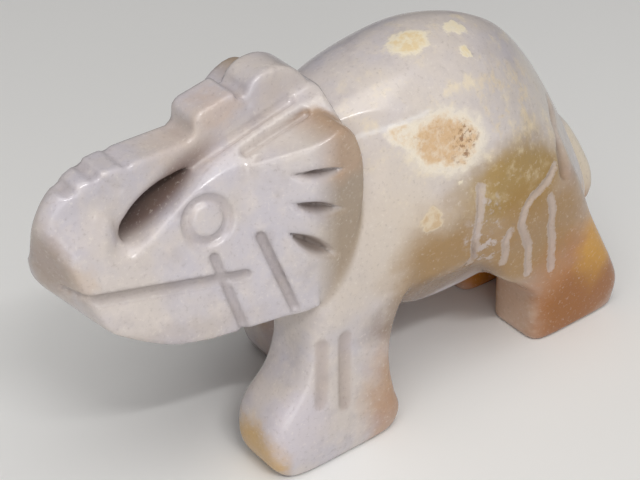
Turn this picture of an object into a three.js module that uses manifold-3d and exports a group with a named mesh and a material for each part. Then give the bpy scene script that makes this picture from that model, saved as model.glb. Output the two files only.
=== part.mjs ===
// Elephant carved from one piece of jasper, walking, with its trunk laid back over its forehead.
// Millimetres, +Z up. The head points along -X, the animal's left flank faces -Y, the feet stand on Z = 0.
import * as THREE from 'three';
import { LoftGeometry } from 'three/addons/geometries/LoftGeometry.js';
import { mergeVertices } from 'three/addons/utils/BufferGeometryUtils.js';
import Module from 'manifold-3d';

// Stone
const STONE_COLOUR = 0xc9bfbc;
const STONE_ROUGHNESS = 0.3;

// Both flanks
const LEFT = -1;
const RIGHT = 1;
const SIDES = [LEFT, RIGHT];

// Curved stretches of an outline are cut in this many steps a point
const CURVE_SEGMENTS = 4;

// Head: the cheeks are flat faces that close in towards the mouth and lean in towards the crown
const CHEEK_FRONT = { x: -38, z: 33, halfWidth: 3.3 };
const CHEEK_TURN = THREE.MathUtils.degToRad(11);
const CHEEK_LEAN = THREE.MathUtils.degToRad(13);
const JAW_BOTTOM = 21.5;
const HEAD_BACK = -13;
const CROWN_BACK = -7.5;
const HEAD_HALF_WIDTH = 12;

// Crown: two flat faces falling outwards from the foot of the trunk
const CROWN = { x: -18.8, halfWidth: 3.4, z: 40.4, rise: 0.25, fall: 0.7 };

// Trunk: a band of even width, cut free of the face by a leaf-shaped slot
const TRUNK_HALF_WIDTH = 2.3;
const TRUNK_NARROWS_AT = -35;
const TRUNK_TURN = THREE.MathUtils.degToRad(13);

// Ears: a front face flaring out to a ridge and a back face falling to the rim
const EAR_FRONT_X = -18.9;
const EAR_RIDGE = { x: -13.8, halfWidth: 10.3, z: 34.5 };
const EAR_RIM = { x: -6.2, halfWidth: 9.4 };
const EAR_TOP = { front: 38.5, ridge: 39, rim: 40.6 };

// Eyes: a ring drilled around a flat disc
const EYE = { x: -23.7, z: 34.3, disc: 1.7, floor: 2.3, ring: 2.7, depth: 0.6 };

// Body stations along X: half width, back height, belly height and height of the widest part
const BODY_STATIONS = [
  { x: -15, halfWidth: 6.8, back: 36, belly: 19, waist: 27, arch: 2.6 },
  { x: -9, halfWidth: 8.2, back: 39, belly: 17, waist: 27, arch: 2.6 },
  { x: -4, halfWidth: 9.8, back: 41.1, belly: 15, waist: 27, arch: 2.4 },
  { x: 3, halfWidth: 11.6, back: 43, belly: 11.8, waist: 26, arch: 2.2 },
  { x: 10, halfWidth: 12.4, back: 43.7, belly: 11, waist: 25, arch: 2 },
  { x: 16, halfWidth: 12.4, back: 42.3, belly: 12, waist: 24, arch: 1.8 },
  { x: 22, halfWidth: 11.2, back: 38, belly: 13, waist: 22, arch: 1.6 },
  { x: 27, halfWidth: 9, back: 31.1, belly: 12, waist: 19, arch: 1.5 },
  { x: 31, halfWidth: 6.4, back: 22.6, belly: 11, waist: 16, arch: 1.6 },
  { x: 33.5, halfWidth: 4, back: 16, belly: 11, waist: 13, arch: 2 },
];
const BELLY_ROUNDNESS = 2.5;
const BODY_STEP = 2.5;
const BODY_SIDES = 32;

// Leg stations up Z: front and back edge along X, outer and inner face across Y
const FRONT_LEG = [
  { z: 0, front: -18.4, back: -2.2, outer: 11.8, inner: 3.4 },
  { z: 2, front: -19.7, back: -1.6, outer: 12.1, inner: 3.2 },
  { z: 5, front: -20.1, back: -2.3, outer: 12, inner: 3 },
  { z: 8, front: -19.2, back: -2.8, outer: 11.7, inner: 3 },
  { z: 10.5, front: -16.6, back: -2.9, outer: 11.4, inner: 3 },
  { z: 14, front: -14.6, back: -2.2, outer: 11.1, inner: 2.5 },
  { z: 18, front: -14, back: -0.4, outer: 10.9, inner: 1.5 },
  { z: 24, front: -12, back: 1, outer: 10, inner: 1 },
  { z: 31, front: -7, back: 1, outer: 7.8, inner: 1 },
];
const REAR_LEG = [
  { z: 0, front: 20.2, back: 34.2, outer: 10.6, inner: 2.2 },
  { z: 3.5, front: 20, back: 34.6, outer: 10.9, inner: 2.2 },
  { z: 8, front: 19.2, back: 32.6, outer: 11.3, inner: 2.2 },
  { z: 10.4, front: 16.8, back: 31.2, outer: 11.6, inner: 2 },
  { z: 13, front: 13.4, back: 29.7, outer: 11.9, inner: 1.5 },
  { z: 16.5, front: 10.4, back: 27.8, outer: 12.1, inner: 1 },
  { z: 23, front: 9.6, back: 25, outer: 11.8, inner: 1 },
  { z: 30, front: 13, back: 22, outer: 9.5, inner: 1 },
];
const LEG_ROUNDNESS = 5;
const LEG_STEP = 1.6;
const LEG_SIDES = 24;
const RIGHT_FRONT_SET_BACK = 11.5;

// Tail: a raised lobe down the middle of the rump
const TAIL_HALF_WIDTH = 2.8;

// Cutting wheels and the lines they leave
const LINE_RADIUS = 0.55;
const FOLD_RADIUS = 0.65;
const LIP_RADIUS = 0.45;
const CREASE_RADIUS = 0.4;
const CROWN_LINE_RADIUS = 0.5;
const EAR_WHEEL = { radius: 7, depth: 1.1, bevel: THREE.MathUtils.degToRad(33) };
const WHEEL_SIDES = 40;
const EYE_SIDES = 24;

// Corners closer than this are one corner, and a block this wide reaches past the whole piece
const MERGE_DISTANCE = 1e-4;
const CUT_BLOCK = 120;

const wasm = await Module();
wasm.setup();

// Closed solid of a geometry, with shared corners merged
function solid(geometry) {
  const bare = new THREE.BufferGeometry().copy(geometry);
  bare.deleteAttribute('normal');
  bare.deleteAttribute('uv');
  const merged = mergeVertices(bare, MERGE_DISTANCE);
  const corners = merged.index.array;
  const kept = [];
  for (let i = 0; i < corners.length; i += 3) {
    const [a, b, c] = corners.slice(i, i + 3);
    if (a !== b && b !== c && c !== a) {
      kept.push(a, b, c);
    }
  }
  return new wasm.Manifold(new wasm.Mesh({
    numProp: 3,
    vertProperties: new Float32Array(merged.attributes.position.array),
    triVerts: new Uint32Array(kept),
  }));
}

// Side outline, drawn in X and Z, sawn through from one Y to another
function sawn(outline, fromY, toY) {
  const geometry = new THREE.ExtrudeGeometry(outline, {
    depth: toY - fromY,
    bevelEnabled: false,
    curveSegments: CURVE_SEGMENTS,
  });
  geometry.rotateX(Math.PI / 2);
  geometry.translate(0, toY, 0);
  return solid(geometry);
}

// Turn that takes one direction to another
function turned(from, to) {
  return new THREE.Quaternion().setFromUnitVectors(from, to);
}

// Block that takes away everything beyond a plane
function beyond(point, normal) {
  const geometry = new THREE.BoxGeometry(CUT_BLOCK, CUT_BLOCK, CUT_BLOCK);
  geometry.translate(0, 0, CUT_BLOCK / 2);
  geometry.applyQuaternion(turned(new THREE.Vector3(0, 0, 1), normal));
  geometry.translate(point.x, point.y, point.z);
  return solid(geometry);
}

// Round-bottomed groove between two points
function groove(from, to, radius) {
  const run = new THREE.Vector3().subVectors(to, from);
  const geometry = new THREE.CapsuleGeometry(radius, run.length(), 2, 8);
  geometry.applyQuaternion(turned(new THREE.Vector3(0, 1, 0), run.clone().normalize()));
  const middle = new THREE.Vector3().addVectors(from, to).multiplyScalar(0.5);
  geometry.translate(middle.x, middle.y, middle.z);
  return solid(geometry);
}

// Plane through three points, facing away from the animal's middle
function face(a, b, c) {
  const first = new THREE.Vector3().subVectors(b, a);
  const second = new THREE.Vector3().subVectors(c, a);
  const normal = first.cross(second).normalize();
  if (normal.y * a.y < 0) {
    normal.negate();
  }
  return normal;
}

// Values of a station list at any place between its stations
function between(stations, along) {
  const names = Object.keys(stations[0]).filter((name) => name !== along);
  const places = stations.map((station) => station[along]);
  const values = stations.flatMap((station) => names.map((name) => station[name]));
  const curve = new THREE.CubicInterpolant(places, values, names.length);
  return (place) => {
    const row = curve.evaluate(place);
    return Object.fromEntries(names.map((name, i) => [name, row[i]]));
  };
}

// Superellipse point at an angle: roundness 2 is an ellipse, higher is squarer
function bulge(angle, roundness) {
  const bend = (value) => Math.sign(value) * Math.abs(value) ** (2 / roundness);
  return [bend(Math.cos(angle)), bend(Math.sin(angle))];
}

function spread(from, to, step) {
  const count = Math.round((to - from) / step);
  return Array.from({ length: count + 1 }, (_, i) => from + (to - from) * i / count);
}

// Body: rounded sections along X
function makeBody() {
  const at = between(BODY_STATIONS, 'x');
  const places = spread(BODY_STATIONS[0].x, BODY_STATIONS.at(-1).x, BODY_STEP);
  const sections = places.map((x) => {
    const station = at(x);
    return Array.from({ length: BODY_SIDES }, (_, i) => {
      const angle = 2 * Math.PI * i / BODY_SIDES;
      const above = Math.sin(angle) > 0;
      const [across, up] = bulge(angle, above ? station.arch : BELLY_ROUNDNESS);
      const height = above ? station.back - station.waist : station.waist - station.belly;
      return new THREE.Vector3(x, station.halfWidth * across, station.waist + height * up);
    });
  });
  return solid(new LoftGeometry(sections, { capStart: true, capEnd: true }));
}

// Leg: squarish sections up Z, moved along X for the legs of the right flank
function makeLeg(stations, side, shift) {
  const at = between(stations, 'z');
  const places = spread(stations[0].z, stations.at(-1).z, LEG_STEP);
  const sections = places.map((z) => {
    const { front, back, outer, inner } = at(z);
    return Array.from({ length: LEG_SIDES }, (_, i) => {
      const [along, across] = bulge(2 * Math.PI * i / LEG_SIDES, LEG_ROUNDNESS);
      const x = (front + back) / 2 + along * (back - front) / 2 + shift;
      const y = side * (outer + inner) / 2 + across * (outer - inner) / 2;
      return new THREE.Vector3(x, y, z);
    });
  });
  return solid(new LoftGeometry(sections, { capStart: true, capEnd: true }));
}

// Normal of a cheek and points on it
function cheekNormal(side) {
  return new THREE.Vector3(
    -Math.sin(CHEEK_TURN) * Math.cos(CHEEK_LEAN),
    side * Math.cos(CHEEK_TURN) * Math.cos(CHEEK_LEAN),
    Math.sin(CHEEK_LEAN),
  );
}

function onCheek(x, z, side) {
  const widening = (x - CHEEK_FRONT.x) * Math.tan(CHEEK_TURN);
  const leaning = (z - CHEEK_FRONT.z) * Math.tan(CHEEK_LEAN) / Math.cos(CHEEK_TURN);
  return new THREE.Vector3(x, side * (CHEEK_FRONT.halfWidth + widening - leaning), z);
}

// Points of a flat outline
const spots = (...pairs) => pairs.map(([x, z]) => new THREE.Vector2(x, z));

// Normal of the crown's face on one side
function crownNormal(side) {
  return new THREE.Vector3(-CROWN.rise, side * CROWN.fall, 1).normalize();
}

function cutCrown(shape, side) {
  const edge = new THREE.Vector3(CROWN.x, side * CROWN.halfWidth, CROWN.z);
  return shape.subtract(beyond(edge, crownNormal(side)));
}

// Face and jaw below the trunk
function makeHead() {
  const outline = new THREE.Shape();
  outline.moveTo(-39.3, 33.5);
  outline.splineThru(spots([-39.4, 31], [-38.8, 28.8], [-37.1, 26.7], [-34.9, 24.9], [-32.4, 23.4]));
  outline.splineThru(spots([-29.4, 22.1], [-25.5, JAW_BOTTOM]));
  outline.lineTo(HEAD_BACK, JAW_BOTTOM);
  outline.lineTo(HEAD_BACK, 34);
  outline.lineTo(CROWN_BACK, 36);
  outline.lineTo(CROWN_BACK, 43);
  outline.lineTo(-15, 41.6);
  outline.lineTo(-21, 39.6);
  outline.splineThru(spots([-23.2, 38.4], [-25.1, 37.1], [-27.6, 35.5], [-30.1, 33.8], [-31.8, 33.1]));
  outline.splineThru(spots([-32.4, 34], [-31.8, 35.6], [-30.6, 37.2]));
  outline.lineTo(-34, 37);
  outline.lineTo(-38, 36.4);
  let head = sawn(outline, -HEAD_HALF_WIDTH, HEAD_HALF_WIDTH);
  for (const side of SIDES) {
    head = head.subtract(beyond(onCheek(CHEEK_FRONT.x, CHEEK_FRONT.z, side), cheekNormal(side)));
    head = cutCrown(head, side);
  }
  return head;
}

// Trunk: up the front of the face, back over the slot and onto the forehead in two blocks
function makeTrunk() {
  const outline = new THREE.Shape();
  outline.moveTo(-38.4, 29.7);
  outline.splineThru(spots([-39.8, 32.3], [-40.3, 35.3], [-39.4, 38.4], [-37, 40.6], [-33, 41.7]));
  outline.lineTo(-23.2, 41.6);
  outline.splineThru(spots([-22.5, 42.2], [-22.3, 43.7], [-21.5, 44.4]));
  outline.lineTo(-17.6, 45.2);
  outline.lineTo(-16, 44.8);
  outline.splineThru(spots([-14.4, 46], [-12, 46.2], [-9.8, 45.2], [-8.2, 43.2], [-7.2, 40]));
  outline.lineTo(-7.4, 36);
  outline.lineTo(-20, 37);
  outline.splineThru(spots([-22.6, 38.8], [-26.1, 39], [-28.5, 38.5], [-30.2, 37.4], [-31.5, 35.7]));
  outline.lineTo(-32.6, 33);
  outline.lineTo(-34, 30.5);
  let trunk = sawn(outline, -TRUNK_HALF_WIDTH, TRUNK_HALF_WIDTH);
  for (const side of SIDES) {
    const shoulder = new THREE.Vector3(TRUNK_NARROWS_AT, side * TRUNK_HALF_WIDTH, 0);
    const normal = new THREE.Vector3(-Math.sin(TRUNK_TURN), side * Math.cos(TRUNK_TURN), 0);
    trunk = trunk.subtract(beyond(shoulder, normal));
  }
  return trunk;
}

// Ear: its outline sawn through, then two flat faces meeting on the ridge
function makeEar(side) {
  const outline = new THREE.Shape();
  outline.moveTo(EAR_FRONT_X, JAW_BOTTOM);
  outline.lineTo(-15, JAW_BOTTOM - 0.5);
  outline.splineThru(spots([-12, 21.2], [-9, 23.4], [-7.2, 27.4], [-6.2, 32], [-6.4, 36.7], [-7.5, 39.9]));
  outline.splineThru(spots([-8.7, 41.3], [-10.5, 42]));
  outline.lineTo(-15, 41);
  outline.lineTo(EAR_FRONT_X, 39.4);
  const ridge = new THREE.Vector3(EAR_RIDGE.x, side * EAR_RIDGE.halfWidth, EAR_RIDGE.z);
  const upperFront = face(onCheek(EAR_FRONT_X, 38, side), onCheek(EAR_FRONT_X, 31.5, side), ridge);
  const lowerFront = face(onCheek(EAR_FRONT_X, 31.5, side), onCheek(-16.1, JAW_BOTTOM, side), ridge);
  const rim = new THREE.Vector3(EAR_RIM.x, side * EAR_RIM.halfWidth, EAR_RIDGE.z);
  const back = face(ridge, rim, new THREE.Vector3(EAR_RIDGE.x, side * EAR_RIDGE.halfWidth, 0));
  const [fromY, toY] = side === LEFT ? [-HEAD_HALF_WIDTH, 0] : [0, HEAD_HALF_WIDTH];
  const ear = sawn(outline, fromY, toY)
    .subtract(beyond(ridge, upperFront))
    .subtract(beyond(ridge, lowerFront))
    .subtract(beyond(ridge, back));
  const top = face(
    onCheek(EAR_FRONT_X, EAR_TOP.front, side),
    new THREE.Vector3(EAR_RIDGE.x, side * EAR_RIDGE.halfWidth, EAR_TOP.ridge),
    new THREE.Vector3(EAR_RIM.x, side * EAR_RIM.halfWidth, EAR_TOP.rim),
  );
  return ear.subtract(beyond(ridge.clone().setZ(EAR_TOP.ridge), top.z < 0 ? top.negate() : top));
}

// Tail lobe
function makeTail() {
  const outline = new THREE.Shape();
  outline.moveTo(27.5, 28.5);
  outline.splineThru(spots([30.2, 25.2], [32.4, 22.6], [34.9, 18.7], [36.7, 15.2], [37.2, 12.6]));
  outline.splineThru(spots([36.4, 10.8], [34.8, 10]));
  outline.lineTo(31, 12);
  outline.lineTo(26, 22);
  return sawn(outline, -TAIL_HALF_WIDTH, TAIL_HALF_WIDTH);
}

// Wheel with a sharp rim, standing across the surface so that its rim sinks in to a depth
function wheelCut(middle, along, outward, radius, depth, bevel) {
  const halfWidth = radius * Math.tan(bevel);
  const profile = spots([0, -halfWidth], [radius, 0], [0, halfWidth]);
  const geometry = new THREE.LatheGeometry(profile, WHEEL_SIDES);
  const axle = new THREE.Vector3().crossVectors(along, outward).normalize();
  const lift = new THREE.Vector3().crossVectors(axle, along).normalize();
  if (lift.dot(outward) < 0) {
    lift.negate();
  }
  geometry.applyQuaternion(turned(new THREE.Vector3(0, 1, 0), axle));
  const hub = middle.clone().addScaledVector(lift, radius - depth);
  geometry.translate(hub.x, hub.y, hub.z);
  return solid(geometry);
}

// Ring drilled into a cheek around the disc of the eye
function eyeRing(side) {
  const profile = spots(
    [EYE.disc, -EYE.depth],
    [EYE.floor, -EYE.depth],
    [EYE.ring, EYE.depth],
    [EYE.disc, EYE.depth],
    [EYE.disc, -EYE.depth],
  );
  const geometry = new THREE.LatheGeometry(profile, EYE_SIDES);
  geometry.applyQuaternion(turned(new THREE.Vector3(0, 1, 0), cheekNormal(side)));
  const centre = onCheek(EYE.x, EYE.z, side);
  geometry.translate(centre.x, centre.y, centre.z);
  return solid(geometry);
}

const place = (x, halfWidth, z, side) => new THREE.Vector3(x, side * halfWidth, z);

// Lines cut into the face: mouth, jaw and the fold in front of the ear
function faceCuts(side) {
  return [
    groove(onCheek(-39.5, 29.7, side), onCheek(-20.7, 27.5, side), LINE_RADIUS),
    groove(onCheek(-23.7, 30.3, side), onCheek(-21.7, 21, side), LINE_RADIUS),
    groove(onCheek(-18.5, 31.1, side), onCheek(-16.1, 22.4, side), LINE_RADIUS),
    eyeRing(side),
  ];
}

// Three notches fanned across the ear's ridge
function earCuts(side) {
  const outward = new THREE.Vector3(0, side, 0);
  const notches = [
    { front: place(-16, 9.9, 37.8, side), back: place(-10.6, 9.9, 37, side) },
    { front: place(-15.9, 9.9, 34.7, side), back: place(-10.1, 9.9, 32.2, side) },
    { front: place(-17, 9.7, 32, side), back: place(-10.2, 9.7, 26.4, side) },
  ];
  return notches.map(({ front, back }) => {
    const along = new THREE.Vector3().subVectors(back, front).normalize();
    const middle = new THREE.Vector3().addVectors(front, back).multiplyScalar(0.5);
    return wheelCut(middle, along, outward, EAR_WHEEL.radius, EAR_WHEEL.depth, EAR_WHEEL.bevel);
  });
}

// Creases across the trunk, the two that run on down its sides, and the lines along its foot
function trunkCuts() {
  const reach = TRUNK_HALF_WIDTH + 1;
  const creases = [
    { x: -36.6, z: 40.9, radius: 0.6 },
    { x: -33.9, z: 41.9, radius: 0.5 },
    { x: -30.4, z: 42, radius: 0.45 },
    { x: -16.8, z: 45.3, radius: 1.1 },
  ];
  const cuts = creases.map(({ x, z, radius }) => {
    return groove(place(x, reach, z, LEFT), place(x, reach, z, RIGHT), radius);
  });
  cuts.push(groove(place(-39.1, 4.5, 29.6, LEFT), place(-39.1, 4.5, 29.6, RIGHT), LIP_RADIUS));
  for (const side of SIDES) {
    cuts.push(groove(place(-36.6, 2.2, 40.6, side), place(-35.2, 2.5, 38.2, side), CREASE_RADIUS));
    cuts.push(groove(place(-33.7, 2.5, 41.5, side), place(-31.8, 2.5, 39.6, side), CREASE_RADIUS));
    cuts.push(groove(place(-22.8, 2.8, 39.3, side), place(-11, 2.8, 42.3, side), CROWN_LINE_RADIUS));
    cuts.push(groove(place(-18, 4.6, 39.7, side), place(-10.5, 4.6, 41.4, side), CROWN_LINE_RADIUS));
  }
  return cuts;
}

// Hide folds on the legs
function legCuts(side) {
  const shift = side === RIGHT ? RIGHT_FRONT_SET_BACK : 0;
  return [
    groove(place(-10.5 + shift, 11.5, 15.6, side), place(-10.4 + shift, 12, 7.8, side), FOLD_RADIUS),
    groove(place(-12.9 + shift, 11.4, 15.4, side), place(-13 + shift, 12, 9, side), FOLD_RADIUS),
    groove(place(19.8, 10.9, 26.7, side), place(15.5, 12.1, 22.6, side), FOLD_RADIUS),
    groove(place(15.5, 12.1, 22.6, side), place(15.6, 12.2, 14.7, side), FOLD_RADIUS),
    groove(place(19.4, 11.9, 22.8, side), place(20.2, 12, 12.6, side), FOLD_RADIUS),
    groove(place(12.5, 12.4, 21.6, side), place(13, 12.4, 16.5, side), FOLD_RADIUS),
    groove(place(9, 12.4, 26.4, side), place(9.1, 12.6, 15.5, side), FOLD_RADIUS),
  ];
}

const uncut = makeHead()
  .add(makeTrunk())
  .add(makeEar(LEFT))
  .add(makeEar(RIGHT))
  .add(makeBody())
  .add(makeLeg(FRONT_LEG, LEFT, 0))
  .add(makeLeg(REAR_LEG, LEFT, 0))
  .add(makeLeg(FRONT_LEG, RIGHT, RIGHT_FRONT_SET_BACK))
  .add(makeLeg(REAR_LEG, RIGHT, 0))
  .add(makeTail());

const sideCuts = (side) => [...faceCuts(side), ...earCuts(side), ...legCuts(side)];
const cuts = [...trunkCuts(), ...SIDES.flatMap(sideCuts)];
const carved = cuts.reduce((stone, cut) => stone.subtract(cut), uncut);

// The origin lies on the ground under the middle of the piece
const { min, max } = carved.boundingBox();
const piece = carved.translate(-(min[0] + max[0]) / 2, -(min[1] + max[1]) / 2, -min[2]);

function toMesh(name, shape) {
  const { vertProperties, triVerts } = shape.getMesh();
  const geometry = new THREE.BufferGeometry();
  geometry.setAttribute('position', new THREE.BufferAttribute(vertProperties, 3));
  geometry.setIndex(new THREE.BufferAttribute(triVerts, 1));
  geometry.computeVertexNormals();
  const mesh = new THREE.Mesh(geometry, new THREE.MeshStandardMaterial({
    color: STONE_COLOUR,
    roughness: STONE_ROUGHNESS,
    metalness: 0,
  }));
  mesh.name = name;
  return mesh;
}

const elephant = new THREE.Group();
elephant.add(toMesh('elephant', piece));

export default elephant;
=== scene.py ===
import math

import bpy
import numpy as np
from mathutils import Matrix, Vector


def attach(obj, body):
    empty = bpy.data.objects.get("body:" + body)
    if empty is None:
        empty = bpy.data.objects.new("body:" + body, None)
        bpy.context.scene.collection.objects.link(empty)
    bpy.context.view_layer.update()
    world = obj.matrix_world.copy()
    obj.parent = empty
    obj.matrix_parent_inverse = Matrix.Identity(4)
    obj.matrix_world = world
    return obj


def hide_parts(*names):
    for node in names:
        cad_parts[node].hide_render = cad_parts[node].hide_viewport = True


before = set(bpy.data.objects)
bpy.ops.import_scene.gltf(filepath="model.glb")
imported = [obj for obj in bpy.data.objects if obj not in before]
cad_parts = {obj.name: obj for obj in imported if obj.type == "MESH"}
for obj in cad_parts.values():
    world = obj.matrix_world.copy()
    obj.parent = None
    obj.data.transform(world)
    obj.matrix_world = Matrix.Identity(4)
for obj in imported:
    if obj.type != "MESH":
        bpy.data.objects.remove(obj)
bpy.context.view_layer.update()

# The elephant: one piece of banded jasper, sawn to its side outline, ground into flat and rounded
# faces on a wheel, line-cut with thin wheels and a core drill, and polished; the cut lines stay frosted.
# It is drawn in millimetres with the feet on Z = 0, and every form is a distance to the stone's surface.
TO_FRAME = np.array([1.555, 0.0, 0.0])
MM = 0.001
CURVE_STEPS = 6


def joined(a, b, radius):
    """Smaller of two distances, with the crease where they meet filled by a parabola as wide as radius."""
    overlap = np.maximum(radius - np.abs(a - b), 0) / radius
    return np.minimum(a, b) - overlap ** 2 * radius / 4


def trimmed(a, b, radius):
    """Larger of two distances, with the edge where they meet worn round over radius."""
    return -joined(-a, -b, radius)


def drawn(start, *runs):
    """Closed outline in X and Z. A run of one point is a straight edge; a longer run is a Catmull-Rom curve
    from the last point through its points, whose slope at a point is half the step between its neighbours."""
    points = [np.array([start], float)]
    t = np.linspace(0, 1, CURVE_STEPS + 1)[1:, None]
    for run in runs:
        knots = np.vstack([points[-1][-1:], np.array(run, float)])
        if len(run) == 1:
            points.append(knots[1:])
            continue
        padded = np.vstack([knots[:1], knots, knots[-1:]])
        slope = ((padded[2:] - padded[:-2]) / 2)[:, None]
        a, b = knots[:-1, None], knots[1:, None]
        curve = ((2 * t ** 3 - 3 * t ** 2 + 1) * a + (t ** 3 - 2 * t ** 2 + t) * slope[:-1]
                 + (3 * t ** 2 - 2 * t ** 3) * b + (t ** 3 - t ** 2) * slope[1:])
        points.append(curve.reshape(-1, 2))
    return np.vstack(points)


def from_outline(outline, x, z):
    """Distance from (x, z) to the nearest edge of a closed outline, negative where a line along +X
    crosses the outline an odd number of times."""
    nearest = np.full(np.broadcast(x, z).shape, np.inf)
    inside = np.zeros(nearest.shape, bool)
    for (ax, az), (bx, bz) in zip(outline, np.roll(outline, -1, 0)):
        ex, ez = bx - ax, bz - az
        px, pz = x - ax, z - az
        t = np.clip((px * ex + pz * ez) / (ex * ex + ez * ez), 0, 1)
        nearest = np.minimum(nearest, (px - t * ex) ** 2 + (pz - t * ez) ** 2)
        if ez != 0:
            inside ^= ((az > z) != (bz > z)) & (px < ex * pz / ez)
    return np.where(inside, -1, 1) * np.sqrt(nearest)


def from_plane(point, normal, x, w, z):
    """Height of (x, w, z) over the plane through point, along its normal."""
    n = np.array(normal, float) / np.linalg.norm(normal)
    return (x - point[0]) * n[0] + (w - point[1]) * n[1] + (z - point[2]) * n[2]


def plane_through(a, b, c):
    """Point and normal of the plane through three points, facing away from the middle of the stone."""
    n = np.cross(np.subtract(b, a), np.subtract(c, a))
    return a, n * np.sign(n[1])


def between(stations, at):
    """Columns of a station table at any place: a cubic between stations, with the slope at a station
    taken from the parabola through its neighbours."""
    table = np.array(stations, float)
    knots, values = table[:, 0], table[:, 1:]
    slopes = np.gradient(values, knots, axis=0)
    at = np.clip(at, knots[0], knots[-1])
    i = np.clip(np.searchsorted(knots, at) - 1, 0, len(knots) - 2)
    h = (knots[i + 1] - knots[i])[..., None]
    t = (at - knots[i])[..., None] / h
    rows = ((2 * t ** 3 - 3 * t ** 2 + 1) * values[i] + (t ** 3 - 2 * t ** 2 + t) * h * slopes[i]
            + (3 * t ** 2 - 2 * t ** 3) * values[i + 1] + (t ** 3 - t ** 2) * h * slopes[i + 1])
    return np.moveaxis(rows, -1, 0)


def from_oval(u, v, roundness):
    """Distance to the squared-off oval |u|^n + |v|^n = 1, where u and v are (offset, half size) pairs:
    the n-th root of that sum, less 1, over its own slope."""
    (du, hu), (dv, hv) = u, v
    a, b = np.abs(du) / hu + 1e-6, np.abs(dv) / hv + 1e-6
    size = (a ** roundness + b ** roundness) ** (1 / roundness)
    slope = np.hypot((a / size) ** (roundness - 1) / hu, (b / size) ** (roundness - 1) / hv)
    return (size - 1) / slope


# Head: flat cheeks that close in towards the mouth and lean in towards the crown
CHEEK_X, CHEEK_HALF_WIDTH, CHEEK_Z = -38, 3.3, 33
CHEEK_TURN, CHEEK_LEAN = math.radians(11), math.radians(13)
CROWN = ((-18.8, 3.4, 40.4), (-0.25, 0.7, 1))
SNOUT = ((-37.2, -3.9, 29.7), (-0.93, -0.3, -0.22))
SLOT_FRONT, SLOT_RUN, LEDGE_LOW, LEDGE_RISE = -30.5, 3, 31.5, 2
CHEEK_WEAR, LEDGE_WEAR, CROWN_WEAR, SNOUT_WEAR = 0.7, 2.2, 0.6, 0.6
HEAD = drawn(
    (-39.3, 33.5),
    [(-39.4, 31), (-38.8, 28.8), (-37.1, 26.7), (-34.9, 24.9), (-32.4, 23.4)],
    [(-29.4, 22.1), (-25.5, 21.5)], [(-13, 21.5)], [(-13, 34)], [(-7.5, 36)], [(-7.5, 43)],
    [(-15, 41.6)], [(-21, 39.6)],
    [(-23.2, 38.4), (-25.1, 37.1), (-27.6, 35.5), (-30.1, 33.8), (-31.8, 33.1)],
    [(-32.9, 33.5), (-33.3, 34.6), (-33.6, 36)], [(-38, 35.6)],
)


def cheek_width(x, z):
    """Half width of the head: it grows towards the back and shrinks towards the top by the cheek's slopes."""
    return (CHEEK_HALF_WIDTH + (x - CHEEK_X) * math.tan(CHEEK_TURN)
            - (z - CHEEK_Z) * math.tan(CHEEK_LEAN) / math.cos(CHEEK_TURN))


def from_cheek(x, w, z):
    """Height over the cheek's flat face."""
    return (w - cheek_width(x, z)) * math.cos(CHEEK_TURN) * math.cos(CHEEK_LEAN)


def on_cheek(x, z):
    """Point of the cheek at (x, z)."""
    return x, cheek_width(x, z), z


def ahead(x, start, run):
    """0 behind a place along the head, rising to 1 at run in front of it."""
    return np.clip((start - x) / run, 0, 1)


def head(x, w, z):
    """Sawn outline cut by the cheeks and by the two faces that fall from the crown; the ledge beside the
    trunk's foot is worn away."""
    wear = CHEEK_WEAR + LEDGE_WEAR * ahead(x, SLOT_FRONT, SLOT_RUN) * np.clip((z - LEDGE_LOW) / LEDGE_RISE, 0, 1)
    block = trimmed(from_outline(HEAD, x, z), from_cheek(x, w, z), wear)
    return trimmed(block, from_plane(*CROWN, x, w, z), CROWN_WEAR)


# Trunk: a band of even width that climbs the face and lies back on the forehead in two blocks
TRUNK = drawn(
    (-38.4, 29.7),
    [(-39.8, 32.3), (-40.3, 35.3), (-39.4, 38.4), (-37, 40.6), (-33, 41.7)], [(-23.2, 41.6)],
    [(-22.5, 42.2), (-22.3, 43.7), (-21.5, 44.4)], [(-17.6, 45.2)], [(-16, 44.8)],
    [(-14.4, 46), (-12, 46.2), (-9.8, 45.2), (-8.2, 43.2), (-7.2, 40)], [(-7.4, 36)], [(-20, 37)],
    [(-22.6, 38.6), (-26.1, 38.5), (-28.5, 37.8), (-30.2, 36.7), (-31.5, 35.2)], [(-32.6, 33)], [(-34, 30.5)],
)
TRUNK_HALF_WIDTH, TRUNK_NARROWS_AT, TRUNK_TURN = 2.3, -35, math.radians(13)
TRUNK_SIDE_WEAR, TRUNK_WEAR, FRONT_WEAR, FRONT_STARTS, FRONT_RUN = 1.5, 0.55, 0.9, -32, 5


def trunk(x, w, z):
    """Sawn outline of even width, narrowing towards the face's front, with edges worn more at the front."""
    front = (w - TRUNK_HALF_WIDTH) * math.cos(TRUNK_TURN) - (x - TRUNK_NARROWS_AT) * math.sin(TRUNK_TURN)
    side = trimmed(w - TRUNK_HALF_WIDTH, front, TRUNK_SIDE_WEAR)
    wear = TRUNK_WEAR + FRONT_WEAR * ahead(x, FRONT_STARTS, FRONT_RUN)
    return trimmed(from_outline(TRUNK, x, z), side, wear)


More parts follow.
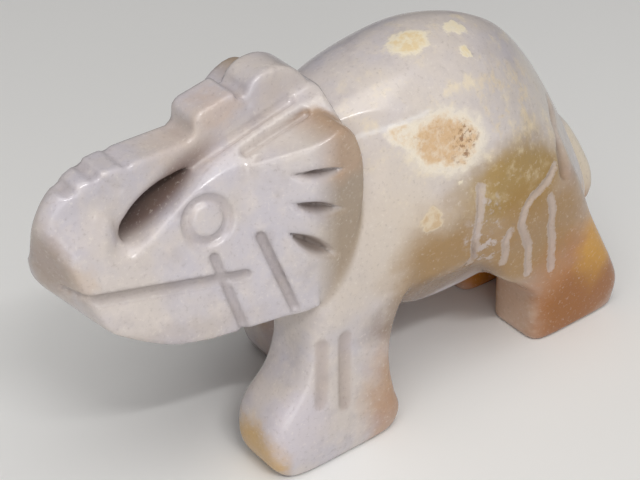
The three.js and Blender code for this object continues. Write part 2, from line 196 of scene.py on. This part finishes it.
# Ears: a face that flares out from the cheek to a worn ridge, and one that falls back to the rim
EAR = drawn(
    (-18.9, 21.5), [(-15, 21)],
    [(-12, 21.2), (-9, 23.4), (-7.2, 27.4), (-6.2, 32), (-6.4, 36.7), (-7.5, 39.9)],
    [(-8.7, 41.3), (-10.5, 42)], [(-15, 41)], [(-18.9, 39.4)],
)
EAR_RIDGE = (-13.8, 10.3, 34.5)
EAR_FACES = [
    plane_through(EAR_RIDGE, on_cheek(-18.9, 38), on_cheek(-18.9, 31.5)),
    plane_through(EAR_RIDGE, on_cheek(-18.9, 31.5), on_cheek(-16.1, 21.5)),
    plane_through(EAR_RIDGE, (-6.2, 9.4, 34.5), (-13.8, 10.3, 0)),
]
EAR_TOP = plane_through((-14, 8.6, 40.3), (-19.3, 6, 38.6), (-14, 4.6, 40.2))
EAR_FOLD_WEAR, EAR_RIDGE_WEAR, EAR_RIM_WEAR, EAR_TOP_WEAR = 0.8, 1.6, 0.9, 0.4


def ear(x, w, z):
    """Sawn outline cut by three flaring faces and a top face."""
    flap = from_outline(EAR, x, z)
    flare = from_plane(*EAR_FACES[0], x, w, z)
    flare = trimmed(flare, from_plane(*EAR_FACES[1], x, w, z), EAR_FOLD_WEAR)
    flare = trimmed(flare, from_plane(*EAR_FACES[2], x, w, z), EAR_RIDGE_WEAR)
    top = from_plane(EAR_TOP[0], EAR_TOP[1] * np.sign(EAR_TOP[1][2]), x, w, z)
    return trimmed(trimmed(flap, flare, EAR_RIM_WEAR), top, EAR_TOP_WEAR)


# Body: rounded sections along X, given by x, half width, back, belly, height of the widest part and arch
BODY = [
    (-15, 6.8, 36, 19, 27, 2.6), (-9, 8.2, 39, 17, 27, 2.6), (-4, 9.8, 41.1, 14, 27, 2.4),
    (3, 11.6, 43, 10.6, 26, 2.2), (10, 12.4, 43.7, 10.2, 25, 2), (16, 12.4, 42.3, 11.6, 24, 1.65),
    (22, 11.2, 38, 13, 22, 1.45), (27, 9, 31.1, 12, 19, 1.4), (31, 6.4, 22.6, 11, 16, 1.6),
    (33.5, 4, 16, 11, 13, 2),
]
BODY_FRONT, BODY_BACK, BODY_END_WEAR, BELLY_ROUNDNESS = -15, 33.5, 2, 2.5


# Flats that the wheel left, as (point, normal, wear): under the chine of the shoulder, behind the ear
# and under the belly
FLANK_FLATS = [
    (*plane_through((-4.8, 7.2, 37.2), (3.5, 8.3, 38.5), (-2.4, 9.25, 31)), 0.12),
    (*plane_through((-1.2, 8.4, 35.2), (-3.8, 8.95, 31), (-7, 6.3, 34.5)), 0.12),
    ((5, 10.1, 17), (-0.05, 0.83, -0.55), 0.3),
]


def body(x, w, z):
    """Half ovals over and under the widest part of each section, cut by the flats and at both ends."""
    half, back, belly, waist, arch = between(BODY, x)
    over = from_oval((w, half), (z - waist, back - waist), arch)
    under = from_oval((w, half), (z - waist, waist - belly), BELLY_ROUNDNESS)
    barrel = np.where(z > waist, over, under)
    for point, normal, wear in FLANK_FLATS:
        barrel = trimmed(barrel, from_plane(point, normal, x, w, z), wear)
    return trimmed(np.maximum(barrel, BODY_FRONT - x), x - BODY_BACK, BODY_END_WEAR)


# Legs: squared-off sections up Z, given by z, front, back, outer and inner face
FRONT_LEG = [
    (0, -18.4, -2.2, 11.8, 3.4), (2, -19.7, -1.6, 12.1, 3.2), (5, -20.1, -2.3, 12, 3),
    (8, -19.2, -2.8, 11.7, 3), (10.5, -16.6, -2.9, 11.4, 3), (14, -14.6, -2.2, 11.1, 2.5),
    (18, -14, -0.4, 10.9, 1.5), (24, -12, 1, 10, 1), (31, -7, 1, 7.8, 1),
]
REAR_LEG = [
    (0, 20.2, 34.2, 10.6, 2.2), (3.5, 20, 34.6, 10.9, 2.2), (8, 19.2, 32.6, 11.3, 2.2),
    (10.4, 16.8, 31.2, 11.6, 2), (13, 13.4, 29.7, 11.9, 1.5), (16.5, 10.4, 27.8, 12.1, 1),
    (23, 9.6, 25, 11.8, 1), (30, 13, 22, 9.5, 1),
]
FRONT_ROUNDNESS, REAR_ROUNDNESS, SOLE_WEAR, LEG_TOP_WEAR = 5, 6, 0.8, 2
RIGHT_FRONT_SET_BACK = 11.5


def leg(stations, roundness, x, w, z):
    """Oval sections between the front, back, outer and inner face at each height, cut flat at both ends."""
    front, back, outer, inner = between(stations, z)
    along = (x - (front + back) / 2, (back - front) / 2)
    across = (w - (outer + inner) / 2, (outer - inner) / 2)
    post = trimmed(from_oval(along, across, roundness), -z, SOLE_WEAR)
    return trimmed(post, z - stations[-1][0], LEG_TOP_WEAR)


# Tail: a raised lobe down the middle of the rump
TAIL = drawn(
    (27.5, 28.5), [(30.2, 25.2), (32.4, 22.6), (34.9, 18.7), (36.7, 15.2), (37.2, 12.6)],
    [(36.4, 10.8), (34.8, 10)], [(31, 12)], [(26, 22)],
)
TAIL_HALF_WIDTH, TAIL_WEAR = 2.8, 2


def tail(x, w, z):
    """Sawn outline of even width with round edges."""
    return trimmed(from_outline(TAIL, x, z), w - TAIL_HALF_WIDTH, TAIL_WEAR)


# How far the creases between the forms are filled
EAR_CREASE, TRUNK_CREASE, TAIL_CREASE, NECK_CREASE = 0.25, 0.9, 0.5, 0.35
FRONT_LEG_CREASE, REAR_LEG_CREASE = 2.5, 1.5


def uncut(x, y, z):
    """Distance to the ground and blended stone, before any line is cut."""
    w = np.abs(y)
    stepping = x - np.where(y > 0, RIGHT_FRONT_SET_BACK, 0)
    face = joined(head(x, w, z), ear(x, w, z), EAR_CREASE)
    face = joined(face, trunk(x, w, z), TRUNK_CREASE + LEDGE_WEAR * ahead(x, SLOT_FRONT, SLOT_RUN))
    face = trimmed(face, from_plane(*SNOUT, x, y, z), SNOUT_WEAR)
    torso = joined(body(x, w, z), leg(FRONT_LEG, FRONT_ROUNDNESS, stepping, w, z), FRONT_LEG_CREASE)
    torso = joined(torso, leg(REAR_LEG, REAR_ROUNDNESS, x, w, z), REAR_LEG_CREASE)
    torso = joined(torso, tail(x, w, z), TAIL_CREASE)
    return joined(torso, face, NECK_CREASE)


# Cut lines, as (from, to, radius) with points at x, half width and z
LIP_LINE = ((-37, -4.4, 29.7), (-38.2, -0.8, 29.7), 0.35)
FACE_LINES = [
    (on_cheek(-38.4, 29.6), on_cheek(-20.7, 27.5), 0.6),
    (on_cheek(-23.7, 30.3), on_cheek(-21.7, 21), 0.52),
    (on_cheek(-18.5, 31.1), on_cheek(-16.1, 22.4), 0.52),
]
TRUNK_LINES = [
    ((-36.7, 0, 40.9), (-36.7, 3.3, 40.9), 0.8), ((-33.9, 0, 41.75), (-33.9, 3.3, 41.75), 0.7),
    ((-30.4, 0, 41.9), (-30.4, 3.3, 41.9), 0.55), ((-16.6, 0, 45), (-16.6, 3.3, 45), 0.85),
    ((-36.6, 2.2, 40.6), (-34.9, 2.6, 37.6), 0.55), ((-33.7, 2.4, 41.5), (-31.6, 2.5, 39.3), 0.55),
    ((-16.6, 2.4, 45), (-15.8, 2.6, 43.2), 0.45),
    ((-22.8, 2.8, 39.3), (-11, 2.8, 42.3), 0.5), ((-18, 4.6, 39.7), (-10.5, 4.6, 41.4), 0.5),
]


def on_skin(path, radius, lift=0.0):
    """Rods of a radius along a path of (x, z) points, each set on the left flank, or lifted off it, by
    halving the span of half widths in which the surface lies."""
    x, z = np.array(path, float).T
    low, high = np.full(len(x), 2.0), np.full(len(x), 14.0)
    for _ in range(20):
        middle = (low + high) / 2
        outside = uncut(x, -middle, z) > 0
        low, high = np.where(outside, low, middle), np.where(outside, middle, high)
    points = np.stack([x, low + lift, z], 1)
    return [(a, b, radius) for a, b in zip(points[:-1], points[1:])]


HIDE_FOLDS = (on_skin([(-10.1, 16), (-10.3, 12), (-10.6, 7.6)], 0.8, 0.35)
              + on_skin([(-13.2, 16), (-13.4, 12), (-13.8, 9.2)], 0.9, 0.6)
              + on_skin([(24.7, 30.4), (22.8, 29.4), (22, 27.6), (21.8, 25.2)], 0.9, 0.3))
STREAKS = (on_skin([(20, 26.4), (18.6, 25.5), (16.9, 25), (15.4, 24.6), (14.4, 23.4), (14, 21.5),
                    (15, 19.4), (16, 17.4), (16.1, 15.4), (16.5, 13.4)], 0.3)
           + on_skin([(18.7, 23.2), (19.3, 21), (19.2, 19.1), (19.9, 16.5), (20, 14), (20.5, 12.2)], 0.3)
           + on_skin([(12.4, 21.3), (11.8, 20), (12.3, 18.4), (12.3, 16.8)], 0.25)
           + on_skin([(8.1, 28.5), (7.8, 25.3), (7.5, 22), (7.9, 18.1)], 0.3))
# Path along the shoulder's chine where a pale painted highlight is laid
CHINE_HIGHLIGHT = on_skin([(-4.8, 37.2), (-2, 37.6), (0.8, 38), (3.2, 38.4)], 0.1)
EAR_NOTCHES = [
    ((-16, 9.9, 37.8), (-10.6, 9.9, 37)), ((-15.9, 9.9, 34.7), (-10.1, 9.9, 32.2)),
    ((-17, 9.7, 32), (-10.2, 9.7, 26.4)),
]
EAR_WHEEL_RADIUS, EAR_WHEEL_DEPTH, EAR_WHEEL_BEVEL = 7, 1.7, math.radians(27)
EYE_X, EYE_Z, EYE_RING, EYE_GROOVE = -23.7, 34.3, 2.28, 0.6
LIP_WEAR = (0.3, 0.5, 0.2, 0.3)


def from_line(line, x, w, z):
    """Distance to a round-ended rod between two points."""
    a, b, radius = np.array(line[0], float), np.array(line[1], float), line[2]
    run = b - a
    px, pw, pz = x - a[0], w - a[1], z - a[2]
    t = np.clip((px * run[0] + pw * run[1] + pz * run[2]) / (run @ run), 0, 1)
    return np.sqrt((px - t * run[0]) ** 2 + (pw - t * run[1]) ** 2 + (pz - t * run[2]) ** 2) - radius


def from_lines(lines, x, w, z):
    """Distance to the nearest of several rods."""
    nearest = from_line(lines[0], x, w, z)
    for line in lines[1:]:
        nearest = np.minimum(nearest, from_line(line, x, w, z))
    return nearest


def from_notches(x, w, z):
    """Distance to three sharp-rimmed wheels that stand across the ear's ridge: along the axle it falls off
    as the wheel thins towards its rim."""
    nearest = np.inf
    for front, back in EAR_NOTCHES:
        along = np.subtract(back, front) / np.linalg.norm(np.subtract(back, front))
        axle = np.cross(along, (0, 1, 0))
        axle /= np.linalg.norm(axle)
        lift = np.cross(axle, along)
        lift *= np.sign(lift[1])
        hub = np.add(front, back) / 2 + lift * (EAR_WHEEL_RADIUS - EAR_WHEEL_DEPTH)
        px, pw, pz = x - hub[0], w - hub[1], z - hub[2]
        side = px * axle[0] + pw * axle[1] + pz * axle[2]
        radius = np.sqrt(np.maximum(px ** 2 + pw ** 2 + pz ** 2 - side ** 2, 0))
        wheel = (np.abs(side) * math.cos(EAR_WHEEL_BEVEL)
                 - (EAR_WHEEL_RADIUS - radius) * math.sin(EAR_WHEEL_BEVEL))
        nearest = np.minimum(nearest, wheel)
    return nearest


def from_eye_ring(x, w, z):
    """Distance to a ring of round section lying in the cheek's face."""
    height = from_cheek(x, w, z)
    ex, ew, ez = on_cheek(EYE_X, EYE_Z)
    reach = np.sqrt(np.maximum((x - ex) ** 2 + (w - ew) ** 2 + (z - ez) ** 2 - height ** 2, 0))
    return np.hypot(reach - EYE_RING, height) - EYE_GROOVE


def cut_lines(x, y, z):
    """Distances to the polished cuts, the folds of the hide, the frosted lines and, on the left, the streaks."""
    w = np.abs(y)
    stepping = x - np.where(y > 0, RIGHT_FRONT_SET_BACK, 0)
    polished = np.minimum(from_eye_ring(x, w, z), from_notches(x, w, z))
    polished = np.minimum(polished, from_lines(TRUNK_LINES, x, w, z))
    polished = np.minimum(polished, from_line(LIP_LINE, x, y, z))
    folds = from_lines(HIDE_FOLDS, stepping, w, z)
    lines = from_lines(FACE_LINES, x, w, z)
    streaks = from_lines(STREAKS, x, -y, z)
    return polished, folds, lines, streaks


def elephant(x, y, z):
    """Distance to the carved stone: the uncut stone less every cut, with the cuts' lips worn a little."""
    carved = uncut(x, y, z)
    for cut, wear in zip(cut_lines(x, y, z), LIP_WEAR):
        carved = trimmed(carved, -cut, wear)
    return carved


# Skin: a net drawn over a grid of distances, one corner in each cell that the surface crosses, then every
# corner is moved onto the surface along its slope
STEP = 0.35
LOW, HIGH = np.array([-41.2, -13.4, -0.9]), np.array([38.2, 13.4, 47.2])
BAND = 2.0
SETTLING_STEPS, FLATTEST, LONGEST_MOVE = 3, 0.25, 0.25


def slope_of(field, p):
    """Field at p and its slope by differences of a fiftieth of a millimetre."""
    small = 0.02
    value = field(*p.T)
    steps = [field(*(p + d).T) - field(*(p - d).T) for d in np.eye(3) * small]
    return value, np.stack(steps, 1) / (2 * small)


def grid_distances(axes):
    """Distances on the grid: the uncut stone everywhere, the cuts only near its surface."""
    values = uncut(axes[0][:, None, None], axes[1][None, :, None], axes[2][None, None, :])
    near = np.nonzero(np.abs(values) < BAND)
    values[near] = elephant(*(axis[i] for axis, i in zip(axes, near)))
    return values


def net(values):
    """Corners and four-sided faces of the net, in grid units. A corner is the mean of the crossings on its
    cell's twelve edges; each grid edge that crosses the surface gives one face between its four cells."""
    shape = np.array(values.shape)
    inside = values < 0
    corner = np.array([[i, j, k] for i in (0, 1) for j in (0, 1) for k in (0, 1)])
    views = [inside[tuple(slice(c, n - 1 + c) for c, n in zip(offset, shape))] for offset in corner]
    count = sum(v.astype(np.uint8) for v in views)
    cells = np.argwhere((count > 0) & (count < 8))
    index = np.full(shape - 1, -1, np.int64)
    index[tuple(cells.T)] = np.arange(len(cells))
    at = values[tuple((cells[:, None] + corner).transpose(2, 0, 1))]
    total, crossings = np.zeros((len(cells), 3)), np.zeros((len(cells), 1))
    for a in range(8):
        for b in range(a + 1, 8):
            if np.abs(corner[a] - corner[b]).sum() == 1:
                crosses = ((at[:, a] < 0) != (at[:, b] < 0))[:, None]
                t = (at[:, a] / np.where(crosses[:, 0], at[:, a] - at[:, b], 1))[:, None]
                total += np.where(crosses, corner[a] + t * (corner[b] - corner[a]), 0)
                crossings += crosses
    points = cells + total / crossings
    faces = []
    for axis in range(3):
        u, v = (axis + 1) % 3, (axis + 2) % 3
        first = np.moveaxis(inside, axis, 0)
        edges = np.argwhere(np.moveaxis(first[:-1] != first[1:], 0, axis))
        edges = edges[(edges[:, u] > 0) & (edges[:, v] > 0)]
        starts_inside = inside[tuple(edges.T)]
        du, dv = np.eye(3, dtype=int)[u], np.eye(3, dtype=int)[v]
        ring = np.stack([index[tuple((edges - o).T)] for o in (0 * du, du, du + dv, dv)], 1)
        faces.append(np.where(starts_inside[:, None], ring, ring[:, ::-1]))
    return points, np.vstack(faces)


axes = [np.arange(lo, hi, STEP) for lo, hi in zip(LOW, HIGH)]
corners, faces = net(grid_distances(axes))
corners = LOW + corners * STEP
for _ in range(SETTLING_STEPS):
    height, slope = slope_of(elephant, corners)
    move = height / np.maximum((slope ** 2).sum(1), FLATTEST)
    corners = corners - np.clip(move, -LONGEST_MOVE, LONGEST_MOVE)[:, None] * slope
corners[:, 2] = np.maximum(corners[:, 2], 0)

skin = bpy.data.meshes.new("elephant_stone")
skin.from_pydata((corners + TO_FRAME) * MM, [], faces.tolist())
skin.shade_smooth()
stone = bpy.data.objects.new("carved_elephant", skin)
bpy.context.scene.collection.objects.link(stone)

# Marks on the skin for the material: backs of the ears for their brown and painted shade, depth below the uncut
# stone for painted shade in the cuts, the chine for a painted highlight, and the cuts
EAR_BACK_FROM, EAR_BACK_RUN, EAR_SKIN, CUT_SHADE_DEPTH = -13.4, 3.4, 0.6, 1.3


def near_cut(distance, reach):
    """1 in a cut, falling to 0 at reach outside it."""
    t = np.clip((reach - distance) / reach, 0, 1)
    return t * t * (3 - 2 * t)


_, folds, lines, streaks = cut_lines(*corners.T)
along, side, up = corners.T
behind_ridge = np.clip((along - EAR_BACK_FROM) / EAR_BACK_RUN, 0, 1)
marks = {
    "ear_back": near_cut(np.abs(ear(along, np.abs(side), up)), EAR_SKIN) * behind_ridge,
    "line": near_cut(lines, 0.25),
    "streak": near_cut(streaks, 0.95),
    "fold": near_cut(folds, 0.4),
    "depth": np.clip(-uncut(*corners.T) / CUT_SHADE_DEPTH, 0, 1),
    "chine": near_cut(from_lines(CHINE_HIGHLIGHT, along, -side, up), 0.3),
}
for name, values in marks.items():
    skin.attributes.new(name, "FLOAT", "POINT").data.foreach_set("value", values.astype(np.float32))


class Wire:
    """A value on its way through a material. Arithmetic on it adds Math nodes; node() adds any other."""

    def __init__(self, tree, socket=None):
        self.tree, self.socket = tree, socket

    def node(self, kind, settings, inputs, out=0):
        """One node: its settings first, then a value or a wire for each input; gives the wire of an output."""
        made = self.tree.nodes.new(kind)
        for name, value in settings.items():
            setattr(made, name, value)
        for name, value in inputs.items():
            if isinstance(value, Wire):
                self.tree.links.new(value.socket, made.inputs[name])
            else:
                made.inputs[name].default_value = value
        return Wire(self.tree, made.outputs[out])

    def math(self, operation, a, b):
        return self.node("ShaderNodeMath", {"operation": operation}, {0: a, 1: b})

    def __add__(self, other):
        return self.math("ADD", self, other)

    def __sub__(self, other):
        return self.math("SUBTRACT", self, other)

    def __rsub__(self, other):
        return self.math("SUBTRACT", other, self)

    def __mul__(self, other):
        return self.math("MULTIPLY", self, other)

    __radd__, __rmul__ = __add__, __mul__

    def eased(self, low, high):
        """0 below low, 1 above high (or the other way round where low is the larger), smooth between."""
        ends = {1: low, 2: high, 3: 0.0, 4: 1.0}
        if low > high:
            ends = {1: high, 2: low, 3: 1.0, 4: 0.0}
        return self.node("ShaderNodeMapRange", {"interpolation_type": "SMOOTHSTEP"}, {0: self, **ends})

    def over(self, under, colour):
        """Colour laid over another where this wire is 1."""
        return self.node("ShaderNodeMix", {"data_type": "RGBA"}, {0: self, 6: under, 7: colour}, 2)


def srgb(red, green, blue):
    """Screen colour, 0 to 255, as the linear colour of a shader."""
    c = np.array([red, green, blue]) / 255
    return (*np.where(c <= 0.04045, c / 12.92, ((c + 0.055) / 1.055) ** 2.4), 1)


jasper = bpy.data.materials.new("polished_jasper")
jasper.use_nodes = True
wire = Wire(jasper.node_tree)
metres = wire.node("ShaderNodeTexCoord", {}, {}, "Object")
place = wire.node("ShaderNodeMapping", {"vector_type": "POINT"},
                  {"Vector": metres, "Location": tuple(-TO_FRAME), "Scale": (1000, 1000, 1000)})


def clouds(scale, detail=3.0, rough=0.55, out="Fac"):
    """Soft noise with this many lumps a millimetre."""
    inputs = {"Vector": place, "Scale": scale, "Detail": detail, "Roughness": rough}
    return wire.node("ShaderNodeTexNoise", {}, inputs, out)


def shaken(reach, scale):
    """Place shifted to and fro by noise, so that a patch gets a wandering edge."""
    noise = clouds(scale, out="Color")
    push = wire.node("ShaderNodeVectorMath", {"operation": "SUBTRACT"}, {0: noise, 1: (0.5, 0.5, 0.5)})
    push = wire.node("ShaderNodeVectorMath", {"operation": "SCALE"}, {0: push, "Scale": 2 * reach})
    return wire.node("ShaderNodeVectorMath", {"operation": "ADD"}, {0: place, 1: push})


drifting, fraying = shaken(3.0, 0.18), shaken(1.1, 0.8)


def reach_of(where, centre, radii, turn=0):
    """Distance from the middle of an ellipsoid, 1 on its surface; turn tips it in the side view, in degrees."""
    inputs = {"Vector": where, "Location": centre, "Rotation": (0, math.radians(turn), 0), "Scale": radii}
    local = wire.node("ShaderNodeMapping", {"vector_type": "TEXTURE"}, inputs)
    return wire.node("ShaderNodeVectorMath", {"operation": "LENGTH"}, {0: local}, "Value")


def mark(name):
    """One of the marks on the skin."""
    return wire.node("ShaderNodeAttribute", {"attribute_name": name}, {}, "Fac")


# Ground colour: cloudy lavender grey with warmer drifts
ground = clouds(0.13).eased(0.35, 0.65).over(srgb(197, 191, 197), srgb(205, 195, 189))
ground = (clouds(0.5, 5).eased(0.45, 0.75) * 0.4).over(ground, srgb(222, 211, 202))
ground = (clouds(0.33, 4).eased(0.5, 0.7) * 0.35).over(ground, srgb(172, 163, 166))
# Zones of colour that run through the stone, and one zone of painted shade under the belly, as (middle, radii,
# edge, strength, colour)
ZONES = [
    ((-3, -10, 26), (8, 6, 9), 0.6, 0.8, (214, 200, 184)),
    ((2, -9, 38), (16, 9, 7), 0.6, 0.45, (222, 211, 200)),
    ((4, -11, 20), (7, 5, 6.5), 0.5, 0.9, (158, 120, 60)),
    ((14, -12, 27.5), (8.5, 6, 4.6), 0.45, 0.9, (160, 126, 46)),
    ((17, -12, 18), (9, 6, 8), 0.5, 0.85, (156, 114, 36)),
    ((26, 0, 8), (11, 16, 11), 0.35, 0.97, (178, 108, 0)),
    ((27, -11, 4), (8, 6, 6), 0.5, 0.85, (150, 88, 4)),
    ((28.5, -11, 13), (3.5, 5, 6), 0.5, 0.75, (212, 156, 36)),
    ((34, -2, 19), (5, 7, 8), 0.4, 0.9, (228, 214, 192)),
    ((24, -6, 33), (5, 7, 5), 0.5, 0.6, (224, 213, 197)),
    ((19.4, -6, 3), (1.4, 5, 7), 0.4, 0.8, (200, 172, 150)),
    # Painted shade under the belly, in the brown of the stone there
    ((3, -9.5, 15), (9, 6, 3.4), 0.4, 0.75, (116, 84, 48)),
    ((-3.5, 0, 4), (4.6, 16, 9), 0.5, 0.85, (176, 118, 30)),
    ((-20.4, -8, 2.5), (2.6, 5.5, 4.4), 0.4, 0.8, (204, 160, 78)),
    ((-17, -11.5, 7), (4, 3, 4), 0.5, 0.7, (208, 200, 206)),
    ((-23.5, -2, 41), (4, 4, 2.2), 0.5, 0.5, (204, 184, 166)),
    ((-19.5, -2, 43.8), (2.6, 4, 1.6), 0.5, 0.5, (206, 180, 158)),
    ((-39.6, -1, 31.5), (2, 4, 5), 0.5, 0.7, (166, 142, 122)),
    ((-37.5, -4, 31), (1.5, 2, 2), 0.5, 0.45, (202, 178, 154)),
    ((-27, 0, 23), (14, 10, 1.8), 0.5, 0.4, (160, 146, 138)),
]
for middle, radii, edge, strength, colour in ZONES:
    where = drifting if min(radii) > 3 else fraying
    zone = reach_of(where, middle, radii).eased(1 + edge, 1 - edge) * strength
    ground = zone.over(ground, srgb(*colour))
# Backs of the ears: the olive brown of the stone, orange towards the top, laid darker as painted shade on the
# faces turned from the light
tip = reach_of(drifting, (-9, -9, 39.5), (5, 14, 3.5)).eased(1.4, 0.5)
ground = (mark("ear_back") * 0.75).over(ground, tip.over(srgb(150, 127, 98), srgb(172, 136, 98)))
# Slot under the trunk: painted shade deep in the slot, in the brown of the stone there
slot_shade = reach_of(place, (-26.6, 0, 37), (8, 3.7, 2.7), -32).eased(1.25, 0.6) * 0.85
ground = slot_shade.over(ground, srgb(96, 68, 54))
# Flecks of cream and yellow, thickest on the back and rump
high = reach_of(drifting, (12, -6, 36), (20, 14, 12)).eased(1.2, 0.6)
ground = (clouds(0.42, 5, 0.6).eased(0.5, 0.76) * high * 0.65).over(ground, srgb(240, 224, 192))
rump = reach_of(drifting, (15, -9, 35.5), (7, 6, 5)).eased(1.3, 0.5)
ground = (clouds(0.45, 4, 0.6).eased(0.5, 0.68) * rump * 0.55).over(ground, srgb(238, 216, 172))
grain = clouds(2.2, 4, 0.65)
ground = (grain.eased(0.56, 0.72) * 0.22).over(ground, srgb(246, 238, 226))
ground = (grain.eased(0.44, 0.3) * 0.2).over(ground, srgb(124, 108, 100))
# Fossil spots, as (middle, radii, turn, inside colour, rim colour)
SPOTS = [
    ((0.2, -9, 36.6), (2.6, 3, 1.5), 20, (226, 200, 164), (238, 227, 209)),
    ((4.6, -10.2, 34.8), (5, 4.5, 3.5), 20, (222, 190, 148), (240, 229, 210)),
    ((5.4, -2, 43.2), (2.4, 1.9, 1.7), 0, (232, 208, 160), (240, 228, 200)),
    ((11.6, -2.4, 43), (1.5, 1.1, 1.2), 0, (242, 228, 196), (240, 229, 204)),
    ((10.8, -5.2, 41.8), (0.7, 0.7, 0.7), 0, (238, 220, 178), (240, 229, 204)),
    ((1.7, -11.3, 26.5), (1.4, 1.4, 1.3), 0, (206, 178, 140), (220, 202, 174)),
    ((5.3, -11.7, 30), (0.8, 0.8, 0.9), 0, (232, 214, 176), (236, 224, 200)),
]
mottle = clouds(0.9, 5, 0.65)
fossil = None
for middle, radii, turn, inside, rim in SPOTS:
    reach = reach_of(fraying, middle, radii, turn)
    disc, core = reach.eased(1.25, 0.82), reach.eased(0.95, 0.68)
    filling = core.over(srgb(*rim), mottle.eased(0.42, 0.62).over(srgb(*inside), srgb(*rim)))
    ground = (disc * 0.85).over(ground, filling)
    fossil = disc if fossil is None else fossil + disc
# The large spot is tan inside, with brown specks towards its back
inner = reach_of(fraying, (4.4, -10.2, 34.8), (5.2, 4.5, 3.5), 20).eased(0.9, 0.7)
tan = reach_of(fraying, (4.6, -10, 34.8), (4.6, 4.5, 2.9), 20).eased(1.1, 0.5)
ground = (tan * inner * 0.45).over(ground, srgb(210, 170, 124))
specks = clouds(1.7, 5, 0.7)
brown = reach_of(fraying, (7.4, -10.6, 34.2), (2.2, 4, 3.2), 20).eased(1.2, 0.4)
ground = (specks.eased(0.48, 0.64) * brown * inner * 0.85).over(ground, srgb(132, 92, 60))
ground = (specks.eased(0.53, 0.68) * inner * 0.3).over(ground, srgb(172, 128, 88))
# Frosted cuts, painted shade deep in them, and a painted highlight along the chine
line, streak, fold, depth = mark("line"), mark("streak"), mark("fold"), mark("depth")
ragged = clouds(1.4, 4, 0.7)
bruised = reach_of(drifting, (9, -12, 22), (3.2, 4, 7)).eased(1.2, 0.5)
bruised = bruised * clouds(0.8, 5, 0.65).eased(0.5, 0.64)
worn = (streak + (ragged - 0.5) * 1.2).eased(0.5, 0.95)
ground = (bruised * 0.7).over(ground, srgb(204, 194, 194))
ground = (worn * 0.6).over(ground, srgb(204, 192, 188))
ground = (line * 0.35).over(ground, srgb(158, 149, 147))
ground = (fold * 0.3).over(ground, srgb(140, 112, 92))
# Painted shade, darkest at the bottom of each cut
ground = (depth.eased(0.15, 1.0) * 0.65).over(ground, srgb(112, 92, 80))
# Pale painted highlight along the chine
ground = (mark("chine") * 0.45).over(ground, srgb(244, 241, 240))
roughness = 0.15 + grain * 0.08 + 0.3 * worn + 0.15 * bruised + 0.18 * line + 0.15 * fossil
pitted = clouds(3.0, 4, 0.7) * (0.03 + 0.5 * worn + 0.5 * bruised + 0.7 * line + 0.4 * fossil)
pits = wire.node("ShaderNodeBump", {}, {"Height": pitted, "Distance": 0.0002, "Strength": 0.6})

shader = jasper.node_tree.nodes["Principled BSDF"]
for name, value in (("Base Color", ground), ("Roughness", roughness), ("Normal", pits)):
    jasper.node_tree.links.new(value.socket, shader.inputs[name])
shader.inputs["IOR"].default_value = 1.54
skin.materials.append(jasper)

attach(stone, "root")
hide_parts("elephant")

# Floor: a plain pale sweep under the piece
floor_mesh = bpy.data.meshes.new("floor")
FLOOR_REACH = 1.5
floor_corners = [(x * FLOOR_REACH, y * FLOOR_REACH, 0) for x, y in ((-1, -1), (1, -1), (1, 1), (-1, 1))]
floor_mesh.from_pydata(floor_corners, [], [(0, 1, 2, 3)])
floor = bpy.data.objects.new("floor", floor_mesh)
bpy.context.scene.collection.objects.link(floor)
paper = bpy.data.materials.new("pale_paper")
paper.use_nodes = True
paper.node_tree.nodes["Principled BSDF"].inputs["Base Color"].default_value = (0.85, 0.845, 0.83, 1)
paper.node_tree.nodes["Principled BSDF"].inputs["Roughness"].default_value = 0.8
floor_mesh.materials.append(paper)

# Light: a broad soft lamp overhead, a weaker one from the left, a thin strip that draws the edges, a pale room
def lamp(name, at, aim, size, watts, colour):
    """Soft lamp of a width and length at a point, turned to face another."""
    data = bpy.data.lights.new(name, "AREA")
    data.shape = "RECTANGLE"
    data.size, data.size_y = size
    data.energy = watts
    data.color = colour
    item = bpy.data.objects.new(name, data)
    item.location = at
    item.rotation_euler = (Vector(aim) - Vector(at)).to_track_quat("-Z", "Y").to_euler()
    bpy.context.scene.collection.objects.link(item)


lamp("key", (-0.12, -0.16, 0.48), (0, 0, 0.02), (0.5, 0.5), 1.9, (1, 0.985, 0.965))
lamp("fill", (-0.25, -0.45, 0.15), (0, 0, 0.02), (0.3, 0.3), 0.5, (0.98, 0.985, 1))
lamp("strip", (-0.1, -0.3, 0.42), (0, 0, 0.02), (0.16, 0.012), 0.5, (1, 1, 1))
world = bpy.data.worlds.new("room")
world.use_nodes = True
world.node_tree.nodes["Background"].inputs["Color"].default_value = (0.8, 0.82, 0.85, 1)
world.node_tree.nodes["Background"].inputs["Strength"].default_value = 0.13
bpy.context.scene.world = world
bpy.context.scene.view_settings.view_transform = "Standard"

# Camera: over the head's left, looking down at the left flank
AZIMUTH, ELEVATION, DISTANCE, FIELD_OF_VIEW = math.radians(-38), math.radians(35), 0.1945, math.radians(21)
target = Vector((-0.0046, 0.00045, 0.0203)) + Vector(TO_FRAME * MM)
level = math.cos(ELEVATION)
back = Vector((math.sin(AZIMUTH) * level, -math.cos(AZIMUTH) * level, math.sin(ELEVATION)))
lens = bpy.data.cameras.new("camera")
lens.sensor_fit = "HORIZONTAL"
lens.angle = FIELD_OF_VIEW
lens.clip_start = 0.01
camera = bpy.data.objects.new("camera", lens)
camera.location = target + back * DISTANCE
camera.rotation_euler = (-back).to_track_quat("-Z", "Y").to_euler()
bpy.context.scene.collection.objects.link(camera)
bpy.context.scene.camera = camera
